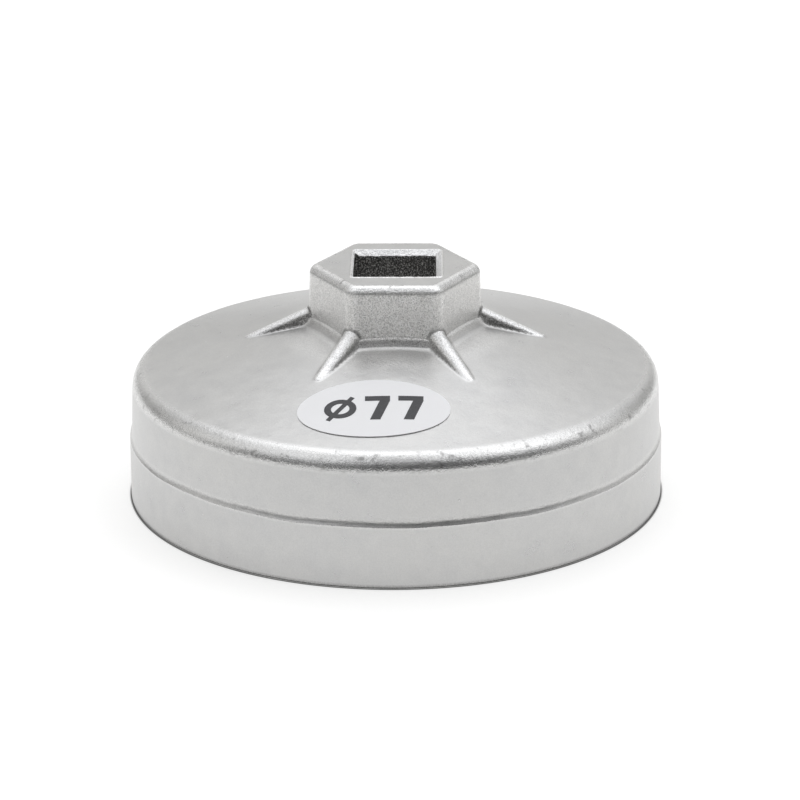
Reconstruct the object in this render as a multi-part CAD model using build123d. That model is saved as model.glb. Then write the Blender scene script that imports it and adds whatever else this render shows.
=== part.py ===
from build123d import *
import os
from math import cos, radians, sin, tan

# Cap-type oil filter wrench: one aluminium casting with an oval size sticker.
# Sizes are in millimetres. The origin is the centre of the open mouth, the mouth
# lies on Z = 0, and +Z runs up through the square drive. The sticker faces -Y,
# and two corners of the hexagonal boss lie on the X axis.

# Outside of the skirt, the wall that goes round the filter
rim_diameter = 85.0            # at the mouth
rim_edge_radius = 0.3
band_height = 9.85             # the thicker lower band, up to the parting step
band_draft = 0.30              # degrees
step_width = 0.38
step_height = 0.65
step_foot_radius = 0.90
wall_draft = 2.18              # degrees, above the step
shoulder_radius = 3.0

# Dome: a shallow cone that closes the cap
dome_slope = 14.78             # degrees from the horizontal
dome_apex_height = 31.48       # where the cone would meet the axis

# Hexagonal boss for a spanner, and the 1/2 in. square drive through it
boss_top = 37.49
boss_across_flats = 23.85      # at the top
boss_draft = 1.5               # degrees, wider towards the dome
boss_corner_radius = 2.4
boss_top_radius = 1.3
boss_foot_radius = 1.4
square_across_flats = 12.75
square_corner_radius = 0.4
square_top_chamfer = 0.9       # depth, at the two sides where it is widest
mouth_spread = 0.58            # how far the chamfered mouth lies outside the hole, on average
mouth_shift = 0.32             # how far the mouth sits off the axis, towards +X and +Y
square_bottom_chamfer = 0.3

# Ribs: six, one running down the dome from each corner of the boss
rib_count = 6
rib_start = 10.0               # radius, buried in the boss
rib_root = 13.9                # radius where the rib leaves the boss
rib_end = 23.6                 # radius where the rib runs out
rib_root_height = 2.35         # above the dome
rib_end_height = 0.20
rib_root_width = 3.75          # at the dome
rib_end_width = 1.1
rib_depth = 1.2                # below the dome, so that rib and dome fuse
rib_flank_angle = 22.0         # degrees from upright
rib_top_share = 0.66           # radius of the rounded ridge over the width at the ridge

# Inside: fourteen flats that grip the filter, a ledge, and a round space above it
flat_count = 14
flats_across = 77.0            # at the mouth
flats_height = 15.0
flats_draft = 0.7              # degrees, narrower towards the ledge
flats_corner_radius = 1.0
mouth_chamfer = 0.8
space_radius = 37.5
space_corner_radius = 1.5
dome_thickness = 3.6
hub_radius = 12.5              # the round pad under the boss
hub_underside = 24.0

# Sticker: glue, film and print, one on the other
label_radius = 29.07           # from the axis to its centre
label_turn = -5.79             # degrees round from -Y towards +X
label_width = 23.2
label_height = 14.85
glue_thickness = 0.03
film_thickness = 0.10
print_thickness = 0.04
glue_inset = 0.15              # the glue stops just inside the film's edge

# Print: a diameter sign and the size across the flats, 77
glyph_height = 6.1
glyph_gap = 1.25
seven_width = 3.8
seven_bar = 1.2
seven_stem = 1.55
seven_foot = 0.85              # from the left side to the foot of the stem
sign_diameter = 4.9
sign_stroke = 1.05
slash_width = 0.75
slash_angle = 58.0             # degrees


def wall_radius(height):
    """Outer radius of the wall above the step."""
    foot = band_radius(band_height) - step_width
    return foot - (height - band_height - step_height) * tan(radians(wall_draft))


def band_radius(height):
    """Outer radius of the lower band."""
    return rim_diameter / 2 - height * tan(radians(band_draft))


def dome_height(radius):
    """Height of the dome's outer surface."""
    return dome_apex_height - radius * tan(radians(dome_slope))


def rounded(face, corner, radius):
    """The flat face with the corner nearest to a point rounded."""
    nearest = face.vertices().sort_by_distance((corner[0], corner[1], 0))[0]
    return fillet(nearest, radius)


def turned(face):
    """Solid of revolution round Z of a face drawn in radius and height."""
    return revolve(Plane.XZ * face, Axis.Z)


def cap_outside():
    """Solid inside the outer surface of skirt and dome."""
    step_top = band_height + step_height
    slope = tan(radians(dome_slope))
    draft = tan(radians(wall_draft))
    shoulder_height = dome_height(wall_radius(0)) / (1 - slope * draft)
    shoulder = (wall_radius(shoulder_height), shoulder_height)
    rim = (rim_diameter / 2, 0)
    step_foot = (wall_radius(step_top), step_top)
    outline = Polyline(
        (0, 0),
        rim,
        (band_radius(band_height), band_height),
        step_foot,
        shoulder,
        (0, dome_apex_height),
        close=True,
    )
    face = make_face(outline)
    face = rounded(face, rim, rim_edge_radius)
    face = rounded(face, step_foot, step_foot_radius)
    face = rounded(face, shoulder, shoulder_radius)
    return turned(face)


def hex_boss():
    """Drafted hexagonal boss with rounded corners and top edge."""
    foot = hub_underside + 1
    height = boss_top - foot
    apothem = boss_across_flats / 2 + height * tan(radians(boss_draft))
    hexagon = RegularPolygon(apothem, 6, major_radius=False)
    hexagon = fillet(hexagon.vertices(), boss_corner_radius)
    boss = extrude(Pos(0, 0, foot) * hexagon, amount=height, taper=boss_draft)
    top_edges = boss.faces().sort_by(Axis.Z)[-1].edges()
    return fillet(top_edges, boss_top_radius)


def rib_section(radius, height, width):
    """Cross-section of a rib, square to its length, with a rounded ridge."""
    top = width / 2 - height * tan(radians(rib_flank_angle))
    top = max(top, width / 5)
    foot = width / 2 + rib_depth * tan(radians(rib_flank_angle))
    section = Polyline((-foot, -rib_depth), (foot, -rib_depth), (top, height), (-top, height), close=True)
    face = make_face(section)
    ridge = face.vertices().sort_by(Axis.Y)[-2:]
    face = fillet(ridge, 2 * top * rib_top_share)
    place = Plane((radius, 0, dome_height(radius)), x_dir=(0, 1, 0), z_dir=(1, 0, 0))
    return place * face


def rib():
    """One rib, along +X, from inside the boss down to the dome."""
    fall = (rib_root_height - rib_end_height) / (rib_end - rib_root)
    narrowing = (rib_root_width - rib_end_width) / (rib_end - rib_root)
    start_height = rib_root_height + fall * (rib_root - rib_start)
    start_width = rib_root_width + narrowing * (rib_root - rib_start)
    start = rib_section(rib_start, start_height, start_width)
    end = rib_section(rib_end, rib_end_height, rib_end_width)
    return loft([start, end], ruled=True)


def filter_space():
    """The air inside the cap: mouth, flats, ledge and the round space above."""
    lead = RegularPolygon(flats_across / 2 + mouth_chamfer, flat_count, major_radius=False)
    grip = RegularPolygon(flats_across / 2, flat_count, major_radius=False)
    grip = fillet(grip.vertices(), flats_corner_radius)
    space = extrude(grip, amount=flats_height, taper=flats_draft)
    space += extrude(lead, amount=mouth_chamfer, taper=45)
    drop = dome_thickness / cos(radians(dome_slope))
    corner = (space_radius, dome_height(space_radius) - drop)
    outline = Polyline(
        (0, flats_height - 1),
        (space_radius, flats_height - 1),
        corner,
        (hub_radius, dome_height(hub_radius) - drop),
        (hub_radius, hub_underside),
        (0, hub_underside),
        close=True,
    )
    face = rounded(make_face(outline), corner, space_corner_radius)
    return space + turned(face)


def square_prism(across, low, high, taper=0.0):
    """Square prism with rounded corners, as wide as given at its low end."""
    square = fillet(Rectangle(across, across).vertices(), square_corner_radius)
    return extrude(Pos(0, 0, low) * square, amount=high - low, taper=taper)


def square_drive():
    """The square hole, with a chamfer at each end. The upper one is cast, a little off centre."""
    hole = square_prism(square_across_flats, hub_underside - 1, boss_top + 1)
    lower = square_prism(
        square_across_flats + 2 * square_bottom_chamfer,
        hub_underside,
        hub_underside + square_bottom_chamfer,
        taper=45,
    )
    upper = Pos(mouth_shift, mouth_shift, 0) * square_prism(
        square_across_flats + 2 * (mouth_spread - square_top_chamfer),
        boss_top - square_top_chamfer,
        boss_top,
        taper=-45,
    )
    return hole + lower + upper


def cap_casting():
    """The whole casting."""
    body = cap_outside() + hex_boss()
    widest_foot = boss_across_flats / 2 / cos(radians(30)) + 1
    narrowest_foot = boss_across_flats / 2
    foot_edges = body.edges().filter_by_position(
        Axis.Z, dome_height(widest_foot), dome_height(narrowest_foot)
    )
    body = fillet(foot_edges, boss_foot_radius)
    for number in range(rib_count):
        body += Rot(0, 0, number * 360 / rib_count) * rib()
    return body - filter_space() - square_drive()


def label_plane():
    """Plane of the sticker: on the dome, X along its width, Z out of the dome."""
    angle = radians(label_turn - 90)
    slope = radians(dome_slope)
    centre = Vector(label_radius * cos(angle), label_radius * sin(angle), dome_height(label_radius))
    normal = Vector(sin(slope) * cos(angle), sin(slope) * sin(angle), cos(slope))
    across = Vector(1, 0, 0) - normal * normal.X
    return Plane(centre, x_dir=across, z_dir=normal)


def dome_layer(low, high):
    """Ring that follows the dome, between two heights measured square to it."""
    slope = radians(dome_slope)
    reach = label_height
    corners = []
    for radius, lift in (
        (label_radius - reach, low),
        (label_radius + reach, low),
        (label_radius + reach, high),
        (label_radius - reach, high),
    ):
        corners.append((radius + lift * sin(slope), dome_height(radius) + lift * cos(slope)))
    return turned(make_face(Polyline(*corners, close=True)))


def pressed_on(sketch, low, high):
    """A flat shape pressed onto the dome as a layer between two heights."""
    cutter = extrude(label_plane() * sketch, amount=2 * shoulder_radius, both=True)
    return dome_layer(low, high) & cutter


def seven():
    """The digit 7, drawn from its lower left corner."""
    outline = Polyline(
        (0, glyph_height),
        (seven_width, glyph_height),
        (seven_width, glyph_height - seven_bar),
        (seven_foot + seven_stem, 0),
        (seven_foot, 0),
        (seven_width - seven_stem, glyph_height - seven_bar),
        (0, glyph_height - seven_bar),
        close=True,
    )
    return make_face(outline)


def diameter_sign():
    """A ring with a slash through it, centred on the origin."""
    ring = Circle(sign_diameter / 2) - Circle(sign_diameter / 2 - sign_stroke)
    slash = Rot(0, 0, slash_angle) * Rectangle(glyph_height + slash_width, slash_width)
    return ring + slash


def label_glyphs():
    """The three glyphs of the print, centred on the sticker."""
    total = sign_diameter + 2 * (seven_width + glyph_gap)
    left = -total / 2
    first_seven = left + sign_diameter + glyph_gap
    second_seven = first_seven + seven_width + glyph_gap
    return [
        Pos(left + sign_diameter / 2, 0) * diameter_sign(),
        Pos(first_seven, -glyph_height / 2) * seven(),
        Pos(second_seven, -glyph_height / 2) * seven(),
    ]


def label_layers():
    """Glue, film and print of the sticker, by node name."""
    film_low = glue_thickness
    film_high = film_low + film_thickness
    print_high = film_high + print_thickness
    glue_oval = Ellipse(label_width / 2 - glue_inset, label_height / 2 - glue_inset)
    film_oval = Ellipse(label_width / 2, label_height / 2)
    glyphs = [pressed_on(glyph, film_high, print_high) for glyph in label_glyphs()]
    return {
        "label_adhesive": pressed_on(glue_oval, 0, film_low),
        "label_film": pressed_on(film_oval, film_low, film_high),
        "label_print": Compound(children=[solid for glyph in glyphs for solid in glyph.solids()]),
    }


os.makedirs("parts", exist_ok=True)
nodes = {"cap_casting": cap_casting(), **label_layers()}
for name, shape in nodes.items():
    export_step(shape, f"parts/{name}.step")
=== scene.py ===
import math
import bpy
import numpy as np
from mathutils import Matrix, Vector, noise


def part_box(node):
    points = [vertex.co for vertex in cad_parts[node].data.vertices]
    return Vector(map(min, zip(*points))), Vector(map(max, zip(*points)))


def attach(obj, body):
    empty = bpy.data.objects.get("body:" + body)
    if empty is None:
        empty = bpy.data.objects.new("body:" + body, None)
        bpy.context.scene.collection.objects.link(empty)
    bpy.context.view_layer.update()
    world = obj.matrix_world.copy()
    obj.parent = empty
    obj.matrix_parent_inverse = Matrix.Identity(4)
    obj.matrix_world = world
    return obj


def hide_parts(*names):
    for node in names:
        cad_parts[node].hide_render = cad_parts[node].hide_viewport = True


# A cap-type oil filter wrench: a die-cast aluminium cap with a hexagonal boss, six ribs, a square
# drive hole, fourteen inner flats and an oval sticker. The casting is rebuilt here as one fine
# mesh with cast fillets and a slightly uneven skin. The sticker's CAD solids are kept.
# Sizes are in millimetres, and MM turns them into the frame's metres.

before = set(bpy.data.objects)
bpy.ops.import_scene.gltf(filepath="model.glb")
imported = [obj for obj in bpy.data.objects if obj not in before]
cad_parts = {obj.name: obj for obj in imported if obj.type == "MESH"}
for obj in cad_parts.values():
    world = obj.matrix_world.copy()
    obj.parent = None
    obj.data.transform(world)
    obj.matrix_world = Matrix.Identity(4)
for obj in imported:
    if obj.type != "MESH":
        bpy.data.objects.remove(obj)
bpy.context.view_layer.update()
MM = 0.001

# ---------------------------------------------------------------- sizes of the casting

boss_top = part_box("cap_casting")[1].z / MM
rim_radius = 42.5              # at the mouth, before its edge is rounded
rim_edge = 0.3
band_height = 9.90
band_top_radius = 42.45
step_foot_radius = 42.13
step_top = 10.42
step_edge = 0.12               # rounding of the step's outer corner
step_fillet = 1.70
step_wander = 0.35             # how far the step's line strays up and down
wander_size = 6.0              # length of its waves
wall_slope = math.tan(math.radians(2.18))
shoulder_fillet = 3.0
shoulder_middle = 19.5         # height of the shoulder's middle

dome_apex = 31.48
dome_slope = math.tan(math.radians(14.78))

boss_apothem = 11.925          # at the top
boss_slope = math.tan(math.radians(1.5))
boss_corner = 2.4
boss_top_edge = 1.3
collar_width = 0.28            # the low collar round the foot of the boss
collar_height = 0.95           # above the dome, square to it
collar_slope = math.tan(math.radians(22))
collar_edge = 0.22
collar_fillet = 0.15           # where the boss stands on the collar
boss_foot_fillet = 1.25        # where the collar stands on the dome
boss_sides = 6

hole_half = 6.375
hole_corner = 0.4
hole_mouth_corner = 0.6        # of the chamfered mouth
hole_bottom_chamfer = 0.3
chamfer_spread = 0.58          # how far the chamfered mouth lies outside the hole, on average
chamfer_shift = 0.32           # how far the mouth sits off the axis, towards +X and +Y
lip_height = 0.13              # burr thrown up round the mouth
lip_width = 0.42
lip_profile = (                # share of the lip's width from outside, and share of its height
    (0.25, 0.2),
    (0.45, 0.75),
    (0.65, 1.0),
    (0.85, 0.95),
    (1.0, 0.6),
)

rib_root = 13.9
rib_end = 23.6
rib_root_height = 2.35
rib_end_height = 0.22
rib_end_drop = 0.5             # how steeply the blunt end falls
rib_root_ridge = 1.32          # radius of the rounded ridge where it meets the boss
rib_end_ridge = 1.15
rib_flank = math.radians(22)   # from upright
rib_foot_bevel = 0.25
rib_foot_fillet = 0.30
normals_sum = 1.7              # length of the dome's and a rib flank's unit normals added up

flat_sides = 14
flats_apothem = 38.5           # at the mouth
flats_slope = math.tan(math.radians(0.7))
flats_corner = 1.0
flats_height = 15.0
mouth_chamfer = 0.8
space_radius = 37.5
space_corner = 1.5
dome_thickness = 3.6
hub_radius = 12.5
hub_underside = 24.0

# ---------------------------------------------------------------- wear, grain and painted shade

wave_size = 4.0                # the slow waves of the tumbled skin
wave_depth = 0.035
burr_size = 0.55               # the rough marks, deepest in the square hole
burr_depth = 0.17
dent_depth = 0.012

shoulder_wear = 0.24           # how rough each place is, against 1 for the walls of the hole
step_wear = 0.24
top_edge_wear = 0.28
lip_wear = 0.70
hole_foot_wear = 0.06

# The next pairs say how far off each kind of wear or painted shade ends, and how near it is full.
shoulder_reach = (1.7, 0.9)    # up and down from the shoulder's middle
step_reach = (0.9, 0.4)        # up and down from the step
wander_reach = (2.2, 0.8)      # up and down from the step, for the rows that stray with its line
boss_shade_reach = (1.20, 1.08)        # out from the side of the boss
rib_shade_reach = (0.25, 0.15)         # out from the flank of a rib
rib_root_reach = (0.42, 0.30)          # the same, over the rib where it meets the boss
root_boss_reach = (0.34, 0.22)         # out from the boss, there
under_edge_reach = (0.308, 0.088)      # up and down from the painted dark line below the boss's top edge

foot_dark = 0.62               # painted shade at the foot of the boss and beside the ribs
side_rib_dark = 0.20           # more of it on the two ribs along X
flank_shade_top = 0.60         # how far up a rib's flank it reaches, as a share of the rib's height
side_flank_more = 0.16         # more of it on the two ribs along X
collar_shade_over = 0.1        # how far above the collar it reaches
collar_unshaded = 0.80            # less of it on the collar beside the four side faces of the boss
face_shade = 0.24              # painted shade that fades up those side faces
face_shade_top = 3.4           # how far above the dome it reaches
face_rub = 0.42                # those side faces were tumbled more than the front and the back
foot_scuffs = 0.20             # grain left on the dome round the boss
foot_scuff_reach = 7.5
edge_dark = 0.60               # painted dark reflection in a line below the boss's rounded top edge
under_edge_height = boss_top - 1.22
# painted shade on the rim's lower edge, where it stands on the floor
rim_dark = 0.80
rim_shade_height = 0.50            # how far up the rim the painted shade reaches
hole_unshaded_depth = 0.3         # below the boss's top: the hole is unshaded down to here, painted dark as shade from the next
hole_dark_depth = 0.7
rubbed_depth = 0.5             # below it too: the boss's grain is gone down to here, whole from the next
grainy_depth = 1.3
grain_starts = 0.15            # height above the dome where grain begins, and where it is whole
grain_whole = 0.75
face_rub_reach = 2.2           # how far out from the boss the rub on its side faces reaches

# ---------------------------------------------------------------- how the mesh is divided

columns = 336                  # a multiple of 6, 4 and 14, so that every corner has a column
dome_rows = 46                 # over the ribs
foot_rows = 28                 # over the foot of the boss
side_rows = 12                 # up the sides of the boss
wall_rows = 24                 # down the walls of the hole
foot_reach = 2.0               # how far the foot rows go to each side of the boss's sharp foot
small_fillet = 0.25            # fillets up to this radius get the coarse facets
fine_facet = math.radians(9)
coarse_facet = math.radians(23)
end_crowding = 0.11            # how much closer the rows lie at the ends of a straight stretch
trace_start = 58.0             # radius plus height of a point well outside the metal
trace_steps = 140
blend_outer = 24.6             # radius where the ribs have run out
blend_top = boss_top - boss_top_edge - 0.45


def fade(value, zero, one):
    """0 where a value is at one number and 1 where it is at another, held beyond both."""
    return np.clip((value - zero) / (one - zero), 0, 1)


def corner_columns(sides, first_corner, fineness):
    """Angles round the axis, closer together at the corners of a polygon."""
    half = math.pi / sides
    steps = columns // sides // 2
    share = np.arange(steps) / steps
    offset = half * (fineness * share + (1 - fineness) * share**3)
    sector = np.concatenate([offset, 2 * half - np.concatenate([[half], offset[:0:-1]])])
    angles = [first_corner + 2 * half * k + sector for k in range(sides)]
    return np.concatenate(angles)


hex_columns = corner_columns(boss_sides, 0.0, 0.38)
flats_columns = corner_columns(flat_sides, 0.0, 0.28)
square_columns = corner_columns(4, -math.pi / 4, 0.5)
square_columns = np.roll(square_columns, -(columns // 8))
square_columns = np.where(square_columns < 0, square_columns + 2 * math.pi, square_columns)


def polygon_radius(angle, sides, apothem, corner, first_corner=0.0):
    """Distance from the axis to a regular polygon with rounded corners."""
    half = math.pi / sides
    off = (angle - first_corner) % (2 * half) - half
    inner = apothem - corner
    to_corner = half - np.abs(off)
    reach = inner / math.cos(half)
    arc = reach * np.cos(to_corner) + np.sqrt(np.maximum(corner**2 - (reach * np.sin(to_corner)) ** 2, 0))
    straight = np.abs(off) <= math.atan(inner * math.tan(half) / apothem)
    return np.where(straight, apothem / np.cos(off), arc)


def square_radius(angle, half_width, corner):
    """Distance from the axis to the square hole's outline."""
    return polygon_radius(angle, 4, half_width, corner, math.pi / 4)


def dome_height(radius):
    """Height of the dome's outer surface."""
    return dome_apex - radius * dome_slope


def wall_radius(height):
    """Outer radius of the wall above the step."""
    return step_foot_radius - (height - step_top) * wall_slope


def rounded_path(corners, radii, spacing):
    """Points along a bent line in radius and height, with each inner corner rounded."""
    corners = [np.array(c, float) for c in corners]
    path = [corners[0]]
    for before, corner, after, radius in zip(corners, corners[1:], corners[2:], radii):
        back = (before - corner) / np.linalg.norm(before - corner)
        ahead = (after - corner) / np.linalg.norm(after - corner)
        half_angle = math.acos(np.clip(back @ ahead, -1, 1)) / 2
        trim = radius / math.tan(half_angle)
        bisector = (back + ahead) / np.linalg.norm(back + ahead)
        centre = corner + bisector * radius / math.sin(half_angle)
        start, end = corner + back * trim - centre, corner + ahead * trim - centre
        turn = math.atan2(start[0] * end[1] - start[1] * end[0], start @ end)
        facet = fine_facet if radius > small_fillet else coarse_facet
        steps = max(2, math.ceil(abs(turn) / facet))
        for angle in np.linspace(0, turn, steps + 1):
            spin = np.array([[math.cos(angle), -math.sin(angle)], [math.sin(angle), math.cos(angle)]])
            path.append(centre + spin @ start)
    path.append(corners[-1])
    return fill_gaps(path, spacing)


def fill_gaps(path, spacing):
    """The same path with points added along its straight stretches, closer at the ends of long ones."""
    filled = [path[0]]
    for begin, end in zip(path, path[1:]):
        length = np.linalg.norm(end - begin)
        steps = max(1, math.ceil(length / spacing))
        share = np.arange(1, steps + 1) / steps
        if steps > 2:
            share = share - end_crowding * np.sin(2 * math.pi * share)
        filled.extend(begin + (end - begin) * s for s in share)
    return filled


class Skin:
    """Rows of points round the axis, each one closed, stacked into one closed surface."""

    def __init__(self):
        self.rows = []
        self.rough = []
        self.roughness = 0.0

    def add(self, angle, radius, height):
        """A row given by the angle, radius and height of its points."""
        radius = np.broadcast_to(radius, columns)
        height = np.broadcast_to(height, columns)
        self.add_row(np.stack([radius * np.cos(angle), radius * np.sin(angle), height], axis=1))

    def add_row(self, row):
        """A row of points, with how rough the skin is there, from 0, tumbled, to 1, as cast."""
        self.rows.append(row)
        self.rough.append(np.full(columns, self.roughness))


def add_outside(skin):
    """The rim's outer edge, band, step, wall, shoulder and the outer part of the dome."""
    draft = dome_slope * wall_slope
    shoulder_height = (dome_apex - dome_slope * (step_foot_radius + step_top * wall_slope)) / (1 - draft)
    corners = [
        (rim_radius - 1.2, 0),
        (rim_radius, 0),
        (band_top_radius, band_height),
        (step_foot_radius, step_top),
        (wall_radius(shoulder_height), shoulder_height),
        (blend_outer, dome_height(blend_outer)),
    ]
    ring = step_foot_radius * np.stack([np.cos(hex_columns), np.sin(hex_columns), 0 * hex_columns], axis=1)
    wander = step_wander * (uneven(ring[None], wander_size, seed=4.0)[0] - 0.5)
    for radius, height in rounded_path(corners, [rim_edge, step_edge, step_fillet, shoulder_fillet], 1.2):
        near_shoulder = fade(abs(height - shoulder_middle), *shoulder_reach)
        near_step = fade(abs(height - step_top), *step_reach)
        skin.roughness = shoulder_wear * near_shoulder + step_wear * near_step
        on_line = fade(abs(height - step_top), *wander_reach)
        skin.add(hex_columns, radius, height + wander * on_line)
    skin.roughness = 0.0


def boss_distance(radius, angle, height):
    """How far a point lies outside the drafted sides of the boss."""
    apothem = boss_apothem + (boss_top - height) * boss_slope
    half = math.pi / boss_sides
    off = angle % (2 * half) - half
    along, side = radius * np.cos(off), radius * np.abs(np.sin(off))
    inner = apothem - boss_corner
    beyond = np.maximum(side - inner * math.tan(half), 0)
    return np.where(beyond > 0, np.hypot(along - inner, beyond), along - inner) - boss_corner


def rib_distance(radius, angle, height):
    """How far a point lies outside the nearest rib, and how tall the rib is there."""
    sector = 2 * math.pi / boss_sides
    off = (angle + sector / 2) % sector - sector / 2
    along, side = radius * np.cos(off), radius * np.abs(np.sin(off))
    share = (along - rib_root) / (rib_end - rib_root)
    tall = rib_root_height + (rib_end_height - rib_root_height) * share
    tall = tall - rib_end_drop * np.maximum(along - rib_end, 0)
    ridge = np.clip(rib_root_ridge + (rib_end_ridge - rib_root_ridge) * share, rib_end_ridge, None)
    above = height - (dome_height(along) + tall - ridge)
    flank = side * math.cos(rib_flank) + above * math.sin(rib_flank) - ridge
    on_ridge = above * math.cos(rib_flank) > side * math.sin(rib_flank)
    return np.where(on_ridge, np.hypot(side, above) - ridge, flank), tall


def filleted(one, other, fillet):
    """Distance to two surfaces joined with a concave fillet."""
    near = np.hypot(np.maximum(fillet - one, 0), np.maximum(fillet - other, 0))
    return np.maximum(fillet, np.minimum(one, other)) - near


def bevelled(one, other, bevel, fillet):
    """Distance to two surfaces joined with a flat bevel whose edges are rounded a little."""
    flat = (one + other - bevel) / normals_sum
    return filleted(filleted(one, flat, fillet), other, fillet)


def foot_distance(radius, angle, height):
    """Distance to the dome, boss and ribs together."""
    dome = (height - dome_height(radius)) / math.hypot(1, dome_slope)
    boss = boss_distance(radius, angle, height)
    collar_side = boss - collar_width - (collar_height - dome) * collar_slope
    collar = -filleted(-collar_side, collar_height - dome, collar_edge)
    body = filleted(filleted(dome, collar, boss_foot_fillet), boss, collar_fillet)
    rib, tall = rib_distance(radius, angle, height)
    share = np.clip(tall / rib_root_height, 0.04, 1)
    return bevelled(body, rib, rib_foot_bevel * share, rib_foot_fillet * share)


def foot_lines():
    """Slanting lines of sight, as radius less height, close together at the foot of the boss."""
    apothem = boss_apothem + (boss_top - blend_top) * boss_slope
    side = polygon_radius(hex_columns, boss_sides, apothem, boss_corner)
    middle = side - dome_height(side)
    stops = [
        np.full(columns, blend_outer - dome_height(blend_outer)),
        middle + foot_reach,
        middle - foot_reach,
        side - blend_top,
    ]
    lines = []
    for start, stop, count in zip(stops, stops[1:], (dome_rows, foot_rows, side_rows)):
        for share in np.arange(1, count + 1) / count:
            lines.append(start + share * (stop - start))
    return lines


def add_foot(skin):
    """The inner dome, the ribs and the sides of the boss."""
    for line in foot_lines():
        total = np.full(columns, trace_start)
        for _ in range(trace_steps):
            radius, height = (total + line) / 2, (total - line) / 2
            total = total - foot_distance(radius, hex_columns, height)
        skin.add(hex_columns, (total + line) / 2, (total - line) / 2)


def mouth_outline(offset):
    """Outline of the square hole's chamfered mouth, made larger by an offset."""
    half_width = hole_half + chamfer_spread + offset
    radius = square_radius(square_columns, half_width, hole_mouth_corner + offset / 2)
    outline = np.stack([radius * np.cos(square_columns), radius * np.sin(square_columns)], axis=1)
    return outline + chamfer_shift


def level_row(outline, height):
    """A row of points over a flat outline."""
    return np.column_stack([outline, np.broadcast_to(height, columns)])


def add_boss_top(skin):
    """The boss's rounded top edge, its top face and the square hole down to the pad below."""
    face_top = boss_top - lip_height
    skin.roughness = top_edge_wear
    for angle in np.linspace(0, math.pi / 2, 11):
        inset = boss_top_edge * (1 - math.cos(angle))
        height = face_top - boss_top_edge * (1 - math.sin(angle))
        apothem = boss_apothem + (boss_top - height) * boss_slope - inset
        radius = polygon_radius(hex_columns, boss_sides, apothem, boss_corner - inset)
        skin.add(hex_columns, radius, height)
    skin.roughness = 0.0
    edge = skin.rows[-1]
    lip_foot = level_row(mouth_outline(lip_width), face_top)
    for share in (0.06, 0.2, 0.4, 0.6, 0.8, 0.95, 1.0):
        skin.add_row(edge + share * (lip_foot - edge))
    skin.roughness = lip_wear
    for across, rise in lip_profile:
        skin.add_row(level_row(mouth_outline(lip_width * (1 - across)), face_top + rise * lip_height))
    skin.roughness = 1.0
    mouth = skin.rows[-1]
    radius = square_radius(square_columns, hole_half, hole_corner)
    wall = np.stack([radius * np.cos(square_columns), radius * np.sin(square_columns)], axis=1)
    depth = hole_half + chamfer_spread - np.abs(wall - chamfer_shift).max(axis=1)
    wall_top = level_row(wall, boss_top - depth)
    for share in (0.1, 0.28, 0.46, 0.64, 0.82, 0.96):
        skin.add_row(mouth + share * (wall_top - mouth))
    wall_foot = level_row(wall, hub_underside + hole_bottom_chamfer)
    for share in np.arange(wall_rows) / wall_rows:
        skin.add_row(wall_top + (0.004 + share) * (wall_foot - wall_top))
    skin.roughness = hole_foot_wear
    corners = [
        (hole_half, hub_underside + 2 * hole_bottom_chamfer),
        (hole_half, hub_underside + hole_bottom_chamfer),
        (hole_half + hole_bottom_chamfer, hub_underside),
        (hole_half + 1.2, hub_underside),
    ]
    for half_width, height in rounded_path(corners, [0.06, 0.06], 1.1)[1:]:
        corner = hole_corner + 0.5 * (half_width - hole_half)
        skin.add(square_columns, square_radius(square_columns, half_width, corner), height)
    skin.roughness = 0.0


def add_inside(skin):
    """The pad, the ceiling, the round space, the ledge, the flats and the mouth."""
    square_edge = skin.rows[-1]
    pad_edge = hub_radius - 0.5
    circle = np.stack([pad_edge * np.cos(hex_columns), pad_edge * np.sin(hex_columns)], axis=1)
    for share in (0.3, 0.65):
        flat = square_edge.copy()
        flat[:, :2] += share * (circle - square_edge[:, :2])
        skin.add_row(flat)
    drop = dome_thickness * math.hypot(1, dome_slope)
    corners = [
        (pad_edge, hub_underside),
        (hub_radius, hub_underside),
        (hub_radius, dome_height(hub_radius) - drop),
        (space_radius, dome_height(space_radius) - drop),
        (space_radius, flats_height),
        (space_radius + 0.4, flats_height),
    ]
    path = rounded_path(corners, [0.15, 0.15, space_corner, 0.15], 1.7)
    for place, (radius, height) in enumerate(path):
        share = place / (len(path) - 1)
        angle = hex_columns + share * (flats_columns - hex_columns)
        skin.add(angle, radius, height)
    ledge_apothem = flats_apothem - flats_height * flats_slope
    corners = [
        (ledge_apothem - 0.3, flats_height),
        (ledge_apothem, flats_height),
        (flats_apothem - mouth_chamfer * flats_slope, mouth_chamfer),
        (flats_apothem + mouth_chamfer, 0),
        (flats_apothem + mouth_chamfer + 0.5, 0),
    ]
    for apothem, height in rounded_path(corners, [0.12, 0.12, 0.1], 1.6):
        radius = polygon_radius(flats_columns, flat_sides, apothem, flats_corner)
        skin.add(flats_columns, radius, height)
    last = skin.rows[-1]
    first = skin.rows[0]
    for share in (0.35, 0.7):
        skin.add_row(last + share * (first - last))


def surface_normals(points):
    """Unit normals of a closed grid of points, pointing out of the metal."""
    along = np.roll(points, -1, axis=0) - np.roll(points, 1, axis=0)
    across = np.roll(points, -1, axis=1) - np.roll(points, 1, axis=1)
    normals = np.cross(across, along)
    return normals / np.maximum(np.linalg.norm(normals, axis=2, keepdims=True), 1e-12)


def curvature(points):
    """How convex the surface is at each point, per millimetre, and negative in hollows."""
    normals = surface_normals(points)
    total = np.zeros(points.shape[:2])
    for axis in (0, 1):
        for step in (-1, 1):
            reach = np.roll(points, step, axis=axis) - points
            turn = np.roll(normals, step, axis=axis) - normals
            length = np.maximum((reach**2).sum(axis=2), 0.02)
            total += (reach * turn).sum(axis=2) / length
    for _ in range(2):
        around = [np.roll(total, step, axis=axis) for axis in (0, 1) for step in (-1, 1)]
        total = 0.5 * total + 0.125 * sum(around)
    return total / 2


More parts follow.
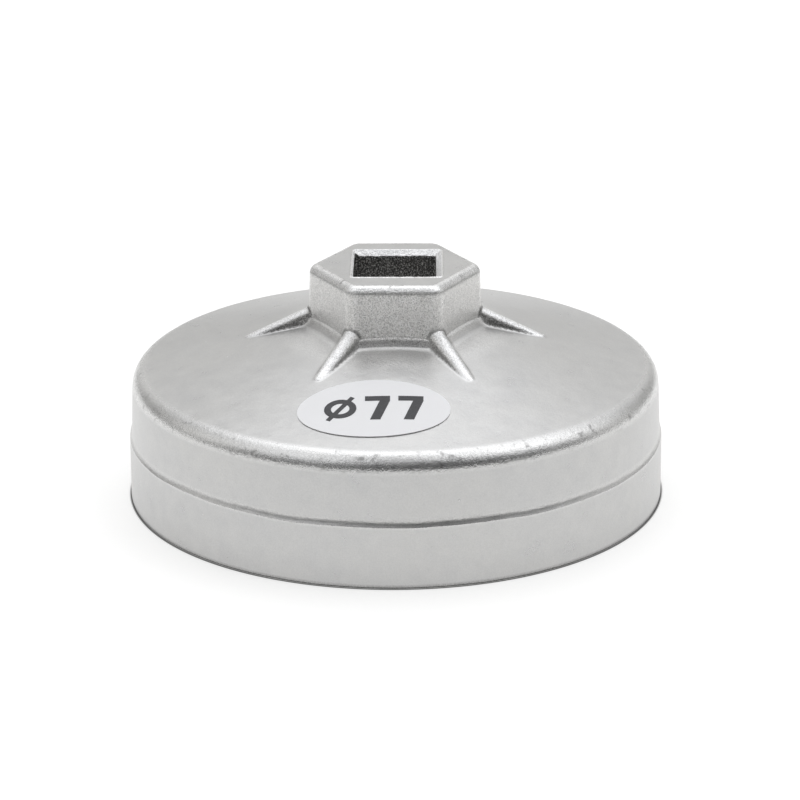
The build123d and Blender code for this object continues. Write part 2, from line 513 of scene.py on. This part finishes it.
def uneven(points, size, seed):
    """Smooth noise between 0 and 1 at each point, with bumps of the given size."""
    shift = Vector((seed, 2.3 * seed, 5.1 * seed))
    flat = points.reshape(-1, 3) / size
    values = [noise.noise(Vector(point) + shift) for point in flat]
    return np.clip(0.5 + 0.5 * np.array(values).reshape(points.shape[:2]), 0, 1)


def weathered(points, rough):
    """The points with the uneven skin of a tumbled casting, pushed a little into the metal."""
    depth = wave_depth * uneven(points, wave_size, seed=1.0)
    coarse = uneven(points, burr_size, seed=2.0)
    fine = uneven(points, burr_size / 2, seed=3.0)
    burrs = 0.65 * coarse + 0.35 * fine
    depth += (dent_depth + rough * burr_depth) * burrs
    return points - surface_normals(points) * depth[..., None]


def mesh_object(name, points):
    """A closed mesh from a grid of points in millimetres that wraps both ways."""
    count, around = points.shape[:2]
    index = np.arange(count * around).reshape(count, around)
    right = np.roll(index, -1, axis=1)
    below = np.roll(index, -1, axis=0)
    corner = np.roll(below, -1, axis=1)
    faces = np.stack([index, right, corner, below], axis=-1).reshape(-1, 4)
    mesh = bpy.data.meshes.new(name)
    mesh.from_pydata((points.reshape(-1, 3) * MM).tolist(), [], faces.tolist())
    mesh.shade_smooth()
    mesh.validate()
    piece = bpy.data.objects.new(name, mesh)
    bpy.context.scene.collection.objects.link(piece)
    return piece


def paint(piece, name, values):
    """A number at each point of a piece, for its material to read."""
    layer = piece.data.attributes.new(name, "FLOAT", "POINT")
    layer.data.foreach_set("value", values.reshape(-1).astype(np.float32))


def polar(points):
    """Distance from the axis, angle round it and height above the dome."""
    radius = np.hypot(points[..., 0], points[..., 1])
    angle = np.arctan2(points[..., 1], points[..., 0])
    return radius, angle, points[..., 2] - dome_height(radius)


def beside_x(points, radius, zero, one):
    """How near the direction of a point is to the X axis, from the sine of its angle."""
    return fade(np.abs(points[..., 1]) / radius, zero, one)


def turned_share(points, radius):
    """1 beside the four side faces of the boss, and 0 before and behind it."""
    return beside_x(points, radius, 0.91, 0.82)


def painted_shade_share(points):
    """Painted shade: dark in the hole, at the foot of the boss and the ribs, up the boss's side faces, below
    its top edge and on the rim's edge.
    """
    radius, angle, dome = polar(points)
    height = points[..., 2]
    boss = boss_distance(radius, angle, height)
    rib, tall = rib_distance(radius, angle, height)
    turned = turned_share(points, radius)
    side_rib = beside_x(points, radius, 0.5, 0.3)
    on_foot = (dome > 0.12) & (radius > hole_half + 3) & (radius < blend_outer)

    # Painted shade round the foot of the boss, on its collar, beside the ribs and over their roots.
    collar_top = collar_height + collar_shade_over
    beside_boss = fade(boss, *boss_shade_reach) * fade(dome, collar_top, collar_top - 0.15)
    beside_boss = beside_boss * (1 - collar_unshaded * turned)
    flank_top = (flank_shade_top + side_flank_more * side_rib) * tall
    beside_rib = fade(rib, *rib_shade_reach) * fade(dome, flank_top, flank_top - 0.25)
    over_rib = fade(rib, *rib_root_reach) * fade(boss, *root_boss_reach)
    foot = np.where(on_foot, np.maximum(np.maximum(beside_boss, beside_rib), over_rib), 0)
    foot = foot * (foot_dark + side_rib_dark * side_rib)

    # Painted shade fading up the boss's four side faces.
    side_face = face_shade * turned * fade(dome, face_shade_top, face_shade_top - 3)
    side_face = side_face * (boss < 0.15) * on_foot
    # A painted dark reflection in a thin line below the boss's rounded top edge.
    under_edge = edge_dark * fade(np.abs(height - under_edge_height), *under_edge_reach)
    under_edge = under_edge * (boss < 0.1) * (radius > hole_half + 4)

    # Painted shade along the rim's lower edge where it meets the floor, lighter on its flat underside.
    outer = np.maximum(fade(radius, rim_radius - 0.5, rim_radius - 0.2), 0.3) * (radius > rim_radius - 1.3)
    rim = rim_dark * fade(height, rim_shade_height, 0.3 * rim_shade_height) * outer

    # Painted shade down the walls of the square hole.
    out_of_hole = np.abs(points[..., :2]).max(axis=2) - hole_half
    in_hole = (out_of_hole < 0.05) & (height > hub_underside + 1)
    hole = fade(height, boss_top - hole_unshaded_depth, boss_top - hole_dark_depth)
    outside = np.maximum(np.maximum(foot, side_face), np.maximum(under_edge, rim))
    return np.where(in_hole, hole, outside)


def bare_and_highlight_share(points):
    """1 at the hole's cut mouth and on the rubbed crests of the ribs, lightened in colour as bright metal and
    as a painted highlight.
    """
    radius, angle, dome = polar(points)
    rib, tall = rib_distance(radius, angle, points[..., 2])
    sector = 2 * math.pi / boss_sides
    side = radius * np.abs(np.sin((angle + sector / 2) % sector - sector / 2))
    crest = fade(side, rib_end_ridge, rib_end_ridge - 0.25) * fade(dome, 0, 0.2) * (rib < 0.1)
    crest = crest * (radius > boss_apothem + 1.3) * (tall > 0)
    mouth_side = np.abs(points[..., :2] - chamfer_shift).max(axis=2) - hole_half - chamfer_spread
    mouth = (mouth_side < 0.2) & (points[..., 2] > boss_top - 1.0)
    wall = np.abs(points[..., :2]).max(axis=2) < hole_half + 0.03
    return np.maximum(crest, mouth & ~wall)


def as_cast_share(points):
    """How much of the rough cast grain the tumbling left: most on the boss and the ribs."""
    radius, _, dome = polar(points)
    from_boss = radius - boss_apothem
    raised = fade(dome, grain_starts, grain_whole)
    scuffed = foot_scuffs * fade(from_boss, foot_scuff_reach, foot_scuff_reach - 2) * (dome > -1)
    below_top = fade(points[..., 2], boss_top - rubbed_depth, boss_top - grainy_depth)
    kept = 1 - face_rub * turned_share(points, radius) * (from_boss < face_rub_reach)
    return np.maximum(raised, scuffed) * below_top * kept * (radius > hole_half + 1)


def cast_casting():
    """The whole casting as one closed mesh."""
    skin = Skin()
    add_outside(skin)
    add_foot(skin)
    add_boss_top(skin)
    add_inside(skin)
    points = np.array(skin.rows)
    rough = np.array(skin.rough)
    piece = mesh_object("casting_skin", weathered(points, rough))
    paint(piece, "convexity", curvature(points))
    paint(piece, "as_cast", np.clip(rough + as_cast_share(points), 0, 1))
    # Where shade is painted into the colour, and how much.
    paint(piece, "painted_shade", painted_shade_share(points))
    paint(piece, "bare_and_highlight", bare_and_highlight_share(points))
    return piece


casting = cast_casting()
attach(casting, "root")
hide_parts("cap_casting")


# ---------------------------------------------------------------- materials

class Shader:
    """A node material, with short calls for the nodes that it is built from."""

    def __init__(self, name):
        self.material = bpy.data.materials.new(name)
        self.material.use_nodes = True
        self.tree = self.material.node_tree
        self.surface = self.tree.nodes["Principled BSDF"]
        self.coords = self.tree.nodes.new("ShaderNodeTexCoord").outputs["Object"]

    def link(self, value, socket):
        """A link from a node's output, or a plain value set on the socket."""
        if isinstance(value, bpy.types.NodeSocket):
            self.tree.links.new(value, socket)
        else:
            socket.default_value = value

    def attribute(self, name):
        """The number painted on the piece's points under this name."""
        node = self.tree.nodes.new("ShaderNodeAttribute")
        node.attribute_name = name
        return node.outputs["Fac"]

    def noise(self, size, detail=2.0, roughness=0.5):
        """Noise between 0 and 1 whose features are about the given size in millimetres."""
        node = self.tree.nodes.new("ShaderNodeTexNoise")
        node.inputs["Scale"].default_value = 1 / (size * MM)
        node.inputs["Detail"].default_value = detail
        node.inputs["Roughness"].default_value = roughness
        self.tree.links.new(self.coords, node.inputs["Vector"])
        return node.outputs["Fac"]

    def cells(self, size):
        """Distance to the nearest of many scattered points, in units of their spacing."""
        node = self.tree.nodes.new("ShaderNodeTexVoronoi")
        node.inputs["Scale"].default_value = 1 / (size * MM)
        self.tree.links.new(self.coords, node.inputs["Vector"])
        return node.outputs["Distance"]

    def ramp(self, value, low, high, to_low=0.0, to_high=1.0):
        """The value carried from one range to another, and held at its ends."""
        node = self.tree.nodes.new("ShaderNodeMapRange")
        for socket, number in zip(("From Min", "From Max", "To Min", "To Max"), (low, high, to_low, to_high)):
            node.inputs[socket].default_value = number
        self.link(value, node.inputs["Value"])
        return node.outputs["Result"]

    def math(self, operation, one, other):
        """The result of a sum on sockets or plain numbers."""
        node = self.tree.nodes.new("ShaderNodeMath")
        node.operation = operation
        self.link(one, node.inputs[0])
        self.link(other, node.inputs[1])
        return node.outputs["Value"]

    def blend(self, share, one, other):
        """From one colour to the other as the share goes from 0 to 1."""
        node = self.tree.nodes.new("ShaderNodeMix")
        node.data_type = "RGBA"
        self.link(share, node.inputs["Factor"])
        for value, name in ((one, "A"), (other, "B")):
            socket = next(s for s in node.inputs if s.name == name and s.type == "RGBA")
            self.link(value if isinstance(value, bpy.types.NodeSocket) else (*value, 1), socket)
        return next(s for s in node.outputs if s.type == "RGBA")

    def scaled(self, colour, share):
        """The colour made lighter or darker."""
        node = self.tree.nodes.new("ShaderNodeVectorMath")
        node.operation = "SCALE"
        self.link(colour, node.inputs[0])
        self.link(share, node.inputs["Scale"])
        return node.outputs["Vector"]

    def bump(self, height, depth, before=None):
        """Bumps of the given depth in millimetres."""
        node = self.tree.nodes.new("ShaderNodeBump")
        node.inputs["Distance"].default_value = depth * MM
        self.link(height, node.inputs["Height"])
        if before:
            self.tree.links.new(before, node.inputs["Normal"])
        return node.outputs["Normal"]

    def finish(self, **sockets):
        """Values or node outputs for the surface's own sockets."""
        for name, value in sockets.items():
            socket = self.surface.inputs[name.replace("_", " ")]
            if not isinstance(value, bpy.types.NodeSocket) and socket.type == "RGBA":
                value = (*value, 1)
            self.link(value, socket)
        return self.material


tumbled_cool = (0.520, 0.520, 0.520)
tumbled_warm = (0.585, 0.583, 0.577)
clouded = (0.580, 0.573, 0.556)
rubbed_and_sheen = (0.80, 0.80, 0.795)
cast_skin = (0.93, 0.92, 0.90)
pitted = (0.30, 0.295, 0.29)
# painted shade
shade_dark = (0.105, 0.103, 0.100)
painted_glint_colour = (0.60, 0.595, 0.58)
bright_wear_and_highlight = (0.85, 0.85, 0.85)
scuffed_edge = (0.26, 0.26, 0.255)
nicked = (0.80, 0.80, 0.80)


def tumbled_aluminium():
    """Die-cast aluminium: satin where it was tumbled, grainy, with painted shade in the hollows, painted
    glints in the hole and a painted sheen and highlight on convex edges and crests.
    """
    shader = Shader("tumbled_aluminium")
    convexity = shader.attribute("convexity")
    as_cast = shader.attribute("as_cast")
    painted_shade = shader.attribute("painted_shade")
    bare_and_highlight = shader.attribute("bare_and_highlight")
    fine = shader.noise(0.20, 2, 0.7)
    grit = shader.noise(0.42, 3, 0.7)
    sparkle = shader.noise(0.26, 1, 0.5)
    mottle = shader.noise(3.2, 4, 0.6)
    cloud = shader.noise(14, 2)
    # Painted shade: concave creases and the shaded places painted on the mesh.
    hollow_shade = shader.math("MAXIMUM", shader.ramp(convexity, -0.9, -2.4, 0, 0.6), painted_shade)
    unshaded = shader.ramp(painted_shade, 0, 1, 1, 0)
    rubbed = shader.math("MULTIPLY", shader.ramp(convexity, 0.25, 1.2, 0, 0.7), unshaded)
    # Speckled lightening at the mouth and on the rib crests: bright metal and a painted highlight.
    chipped_and_highlit = shader.math("MULTIPLY", bare_and_highlight, shader.ramp(grit, 0.34, 0.46, 0.35, 1))
    wear_and_highlight = shader.math("MAXIMUM", rubbed, chipped_and_highlit)
    # Convex places: smoother from tumbling, and lighter in colour as a painted sheen.
    polish_and_sheen = shader.ramp(convexity, 0.10, 0.35)
    pits = shader.math("MULTIPLY", shader.ramp(grit, 0.53, 0.66), shader.ramp(as_cast, 0, 1, 0.05, 0.38))
    # Painted glints, speckled where the painted shade is deepest, mostly down the hole.
    painted_glints = shader.math("MULTIPLY", shader.ramp(sparkle, 0.50, 0.60), shader.ramp(painted_shade, 0.7, 1))
    scuffs = shader.math("MULTIPLY", shader.ramp(shader.noise(1.6, 4, 0.65), 0.58, 0.67), polish_and_sheen)
    scuffs = shader.math("MULTIPLY", scuffs, shader.ramp(as_cast, 0.3, 0.6, 1, 0))
    nick = shader.ramp(shader.cells(5.5), 0.020, 0.034, 1, 0)

    colour = shader.blend(shader.ramp(mottle, 0.3, 0.7), tumbled_cool, tumbled_warm)
    colour = shader.blend(shader.ramp(cloud, 0.3, 0.7, 0, 0.35), colour, clouded)
    # Painted sheen on the shoulder and convex edges, over their rubbed metal.
    colour = shader.blend(shader.math("MULTIPLY", polish_and_sheen, 0.35), colour, rubbed_and_sheen)
    colour = shader.blend(shader.math("MULTIPLY", as_cast, 0.78), colour, cast_skin)
    colour = shader.blend(pits, colour, pitted)
    # Painted shade in the creases, the hole, the foot of the boss and the rim's edge.
    colour = shader.blend(hollow_shade, colour, shade_dark)
    # painted glints
    colour = shader.blend(shader.math("MULTIPLY", painted_glints, 0.85), colour, painted_glint_colour)
    # Bright worn edges, and the painted highlight at the mouth and on the rib crests.
    colour = shader.blend(shader.math("MULTIPLY", wear_and_highlight, 0.9), colour, bright_wear_and_highlight)
    colour = shader.blend(shader.math("MULTIPLY", scuffs, 0.7), colour, scuffed_edge)
    colour = shader.blend(shader.math("MULTIPLY", nick, 0.6), colour, nicked)

    grains = shader.ramp(fine, 0.34, 0.66, -1, 1)
    on_skin = shader.ramp(as_cast, 0, 1, 0.04, 0.34)
    in_shade = shader.ramp(painted_shade, 0, 1, 0, 0.6)
    strength = shader.math("MAXIMUM", on_skin, in_shade)
    strength = shader.math("MULTIPLY", strength, shader.ramp(bare_and_highlight, 0, 1, 1, 0.9))
    shade = shader.math("ADD", shader.math("MULTIPLY", grains, strength), 1.0)
    colour = shader.scaled(colour, shade)

    roughness = shader.ramp(mottle, 0.3, 0.7, 0.27, 0.34)
    roughness = shader.math("SUBTRACT", roughness, shader.math("MULTIPLY", polish_and_sheen, 0.07))
    roughness = shader.math("ADD", roughness, shader.math("MULTIPLY", as_cast, 0.08))
    roughness = shader.math("ADD", roughness, shader.math("MULTIPLY", hollow_shade, 0.12))

    bumps = shader.bump(shader.math("MULTIPLY", fine, shader.ramp(as_cast, 0, 1, 0.25, 1)), 0.05)
    bumps = shader.bump(shader.math("MULTIPLY", grit, shader.ramp(as_cast, 0, 1, 0.12, 1)), 0.16, bumps)
    bumps = shader.bump(mottle, 0.07, bumps)
    bumps = shader.bump(nick, 0.05, bumps)
    return shader.finish(Base_Color=colour, Metallic=0.9, Roughness=roughness, Normal=bumps)


def label_vinyl():
    """White semi-gloss vinyl, faintly cloudy, with a fine orange peel and a few rubbed specks."""
    shader = Shader("white_vinyl")
    cloud = shader.noise(3.5, 3)
    peel = shader.noise(0.5, 2)
    specks = shader.ramp(shader.cells(1.7), 0.035, 0.06, 1, 0)
    colour = shader.blend(cloud, (0.89, 0.89, 0.898), (0.94, 0.94, 0.952))
    colour = shader.blend(shader.math("MULTIPLY", specks, 0.3), colour, (0.55, 0.55, 0.56))
    roughness = shader.ramp(cloud, 0.3, 0.7, 0.30, 0.42)
    bumps = shader.bump(peel, 0.006)
    bumps = shader.bump(cloud, 0.03, bumps)
    return shader.finish(Base_Color=colour, Roughness=roughness, Normal=bumps)


def label_ink():
    """Black ink, a little thin in places, so that it looks dark grey."""
    shader = Shader("black_ink")
    grain = shader.noise(0.18, 3, 0.7)
    patches = shader.noise(1.2, 3)
    colour = shader.blend(shader.ramp(grain, 0.35, 0.75), (0.022, 0.022, 0.025), (0.055, 0.055, 0.062))
    colour = shader.blend(shader.ramp(patches, 0.55, 0.8, 0, 0.5), colour, (0.085, 0.086, 0.095))
    roughness = shader.ramp(grain, 0.3, 0.7, 0.38, 0.55)
    return shader.finish(Base_Color=colour, Roughness=roughness, Normal=shader.bump(grain, 0.006))


def label_glue():
    """Clear glue along the film's edge, tinted a mottled grey."""
    shader = Shader("grey_glue")
    glue_mottle = shader.noise(0.4, 4, 0.65)
    colour = shader.blend(shader.ramp(glue_mottle, 0.4, 0.65), (0.52, 0.50, 0.45), (0.30, 0.29, 0.27))
    roughness = shader.ramp(glue_mottle, 0.3, 0.7, 0.35, 0.7)
    return shader.finish(Base_Color=colour, Roughness=roughness, Normal=shader.bump(glue_mottle, 0.01))


casting.data.materials.append(tumbled_aluminium())
for node, material in (
    ("label_adhesive", label_glue()),
    ("label_film", label_vinyl()),
    ("label_print", label_ink()),
):
    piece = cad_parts[node]
    piece.data.materials.clear()
    piece.data.materials.append(material)


# ---------------------------------------------------------------- floor, light and camera

floor_size = 8                 # metres
floor_pale = (0.56, 0.56, 0.557)
contact_shadow_colour = (0.16, 0.158, 0.155)
glow_colour = (1.0, 0.998, 0.99)
glow_reach = 0.55              # metres from the object
glow_fade = 0.35
glow_strength = 0.57
contact_dark = 0.00006         # painted contact shadow: the sheet is dark and gives no light in a thin ring where the rim stands
contact_soft = 0.00036


def add_floor():
    """A plain pale sheet of acrylic, lit from below round the object as on a product table, with a painted
    contact shadow where the rim stands.
    """
    bpy.ops.mesh.primitive_plane_add(size=floor_size, location=(0, 0, 0))
    floor = bpy.context.object
    floor.name = "floor"
    shader = Shader("floor_white")
    length = shader.tree.nodes.new("ShaderNodeVectorMath")
    length.operation = "LENGTH"
    shader.link(shader.coords, length.inputs[0])
    distance = length.outputs["Value"]
    # Painted contact shadow: a thin ring along the rim's circle is dark and gives no light.
    from_rim = shader.math("SUBTRACT", distance, rim_radius * MM)
    clear = shader.ramp(shader.math("ABSOLUTE", from_rim, 0.0), contact_dark, contact_soft)
    glow = shader.ramp(distance, glow_reach, glow_reach + glow_fade, glow_strength, 0)
    floor.data.materials.append(shader.finish(
        Base_Color=shader.blend(clear, contact_shadow_colour, floor_pale),
        Roughness=0.9,
        Emission_Color=glow_colour,
        Emission_Strength=shader.math("MULTIPLY", glow, clear),
    ))


# Soft lights of the studio: degrees round from the camera's side towards +X, degrees above the
# floor, tightness and brightness. The low ones are a little warm and the high ones a little cool.
soft_lights = (
    (108, 14, 12, 0.61),
    (169, 6, 10, 0.20),
    (165, 19, 12, 0.60),
    (205, 18, 12, 0.73),
    (265, 24, 12, 0.86),
    (93, 48, 12, 1.00),
    (70, 61, 12, 1.05),
    (156, 59, 12, 1.18),
    (215, 66, 12, 1.55),
    (312, 51, 12, 1.23),
)
high_light = 30                # degrees above the floor
warm_tint = (1.005, 1.0, 0.985)
cool_tint = (0.99, 0.998, 1.015)


def add_world():
    """The studio round the object: each soft light is a smooth glow on the dome of the world."""
    world = bpy.data.worlds.new("studio")
    bpy.context.scene.world = world
    world.use_nodes = True
    tree = world.node_tree
    sight = tree.nodes.new("ShaderNodeTexCoord").outputs["Generated"]

    def combine(operation, one, other, socket=0):
        """A vector node's output, from two vectors or from a vector and a scale."""
        node = tree.nodes.new("ShaderNodeVectorMath")
        node.operation = operation
        for value, place in ((one, 0), (other, 3 if operation == "SCALE" else 1)):
            if isinstance(value, bpy.types.NodeSocket):
                tree.links.new(value, node.inputs[place])
            else:
                node.inputs[place].default_value = value
        return node.outputs[socket]

    def number(operation, one, other):
        """A math node's output, from a socket and a plain number."""
        node = tree.nodes.new("ShaderNodeMath")
        node.operation = operation
        tree.links.new(one, node.inputs[0])
        node.inputs[1].default_value = other
        return node.outputs[0]

    sky = (0, 0, 0)
    for turn, rise, tightness, brightness in soft_lights:
        turn, rise = math.radians(turn), math.radians(rise)
        flat = math.cos(rise)
        axis = (math.sin(turn) * flat, -math.cos(turn) * flat, math.sin(rise))
        nearness = number("SUBTRACT", combine("DOT_PRODUCT", sight, axis, 1), 1.0)
        glow = number("EXPONENT", number("MULTIPLY", nearness, tightness), 0)
        tint = cool_tint if rise > math.radians(high_light) else warm_tint
        colour = combine("SCALE", tuple(brightness * part for part in tint), glow)
        sky = combine("ADD", colour, sky)
    tree.links.new(sky, tree.nodes["Background"].inputs["Color"])


camera_lens = 153.43           # millimetres
camera_sensor = 36
camera_distance = 0.54948      # metres from the origin
camera_elevation = math.radians(21.627)
camera_azimuth = math.radians(0.75)
camera_pitch = math.radians(20.206)
camera_heading = math.radians(-0.671)
camera_roll = math.radians(-0.307)


def add_camera():
    """The camera before the object, looking down on it, with a very small roll."""
    camera = bpy.data.cameras.new("camera")
    camera.lens = camera_lens
    camera.sensor_width = camera_sensor
    holder = bpy.data.objects.new("camera", camera)
    flat = camera_distance * math.cos(camera_elevation)
    place = Vector((
        flat * math.sin(camera_azimuth),
        -flat * math.cos(camera_azimuth),
        camera_distance * math.sin(camera_elevation),
    ))
    ahead = Vector((
        math.sin(camera_heading) * math.cos(camera_pitch),
        math.cos(camera_heading) * math.cos(camera_pitch),
        -math.sin(camera_pitch),
    ))
    level = Vector((math.cos(camera_heading), -math.sin(camera_heading), 0))
    upright = level.cross(ahead)
    right = level * math.cos(camera_roll) + upright * math.sin(camera_roll)
    up = upright * math.cos(camera_roll) - level * math.sin(camera_roll)
    holder.matrix_world = Matrix.Translation(place) @ Matrix((right, up, -ahead)).transposed().to_4x4()
    bpy.context.scene.collection.objects.link(holder)
    bpy.context.scene.camera = holder


add_floor()
add_world()
add_camera()
bpy.context.scene.view_settings.view_transform = "Standard"
